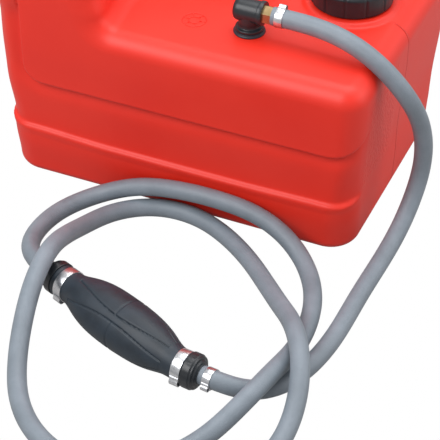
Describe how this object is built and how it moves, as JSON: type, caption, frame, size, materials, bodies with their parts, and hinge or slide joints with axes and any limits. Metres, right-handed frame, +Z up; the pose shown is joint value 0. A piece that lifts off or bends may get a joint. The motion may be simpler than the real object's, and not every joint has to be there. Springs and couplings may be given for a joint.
{
  "type": "portable outboard fuel tank",
  "caption": "Red moulded portable fuel tank with a raised end block, screw filler cap, pickup elbow and a coiled grey hose with a primer bulb and an engine connector.",
  "frame": {"origin": "bottom centre of the tank on the floor", "axes": "+X along the tank towards the filler cap, -Y towards the coiled hose, +Z up"},
  "size_m": [0.3967, 0.5874, 0.2357],
  "materials": {
    "red_polyethylene": "satin",
    "black_plastic": "satin",
    "black_rubber": "satin",
    "grey_hose": "satin",
    "brass": "satin",
    "steel": "satin"
  },
  "bodies": {
    "tank": {"tank_shell": "red_polyethylene", "pickup_grommet": "black_rubber", "pickup_elbow": "black_plastic", "pickup_tube": "grey_hose", "pickup_strainer": "black_plastic", "hose_tail": "brass", "tank_hose_clamp": "steel", "hose_tank_side": "grey_hose", "bulb_body": "black_rubber", "bulb_inlet_fitting": "black_plastic", "bulb_outlet_fitting": "black_plastic", "bulb_inlet_band": "steel", "bulb_outlet_band": "steel", "inlet_hose_clamp": "steel", "outlet_hose_clamp": "steel", "hose_engine_side": "grey_hose", "connector_body": "black_plastic", "connector_tail": "brass", "connector_clamp": "steel", "connector_seal": "black_rubber", "latch_pin": "steel"},
    "cap_lift": {"cap_gasket": "black_rubber"},
    "cap": {"cap_shell": "black_plastic"},
    "vent_lift": {"vent_washer": "black_rubber"},
    "vent": {"vent_knob": "black_plastic"},
    "inlet_valve": {"inlet_check_valve": "brass"},
    "outlet_valve": {"outlet_check_valve": "brass"},
    "latch": {"connector_latch": "black_plastic"},
    "plunger": {"connector_plunger": "steel"}
  },
  "joints": [
    {"name": "cap_lift", "type": "slide", "parent": "tank", "child": "cap_lift", "axis": [0, 0, 1], "range_m": [0, 0.0125]},
    {"name": "cap_turn", "type": "hinge", "parent": "cap_lift", "child": "cap", "pos_m": [0.115, 0.019, 0.2], "axis": [0, 0, 1], "range_deg": [0, 900]},
    {"name": "vent_lift", "type": "slide", "parent": "cap", "child": "vent_lift", "axis": [0, 0, 1], "range_m": [0, 0.003]},
    {"name": "vent_turn", "type": "hinge", "parent": "vent_lift", "child": "vent", "pos_m": [0.115, 0.019, 0.205], "axis": [0, 0, 1], "range_deg": [0, 720]},
    {"name": "inlet_valve_open", "type": "slide", "parent": "tank", "child": "inlet_valve", "axis": [-0.9903, 0.1392, 0], "range_m": [0, 0.0015]},
    {"name": "outlet_valve_open", "type": "slide", "parent": "tank", "child": "outlet_valve", "axis": [-0.9272, 0.3746, 0], "range_m": [0, 0.0015]},
    {"name": "latch_press", "type": "hinge", "parent": "tank", "child": "latch", "pos_m": [0.18765, -0.43864, 0.024], "axis": [-0.9659, 0.2588, 0], "range_deg": [0, 10], "stiffness_Nm_per_rad": 0.2},
    {"name": "plunger_push", "type": "slide", "parent": "tank", "child": "plunger", "axis": [0.2588, 0.9659, 0], "range_m": [0, 0.006], "stiffness_N_per_m": 100}
  ],
  "couplings": [
    {"joint": "cap_turn", "follows": "cap_lift", "rad_per_m": 1256.6},
    {"joint": "vent_turn", "follows": "vent_lift", "rad_per_m": 4188.8}
  ]
}
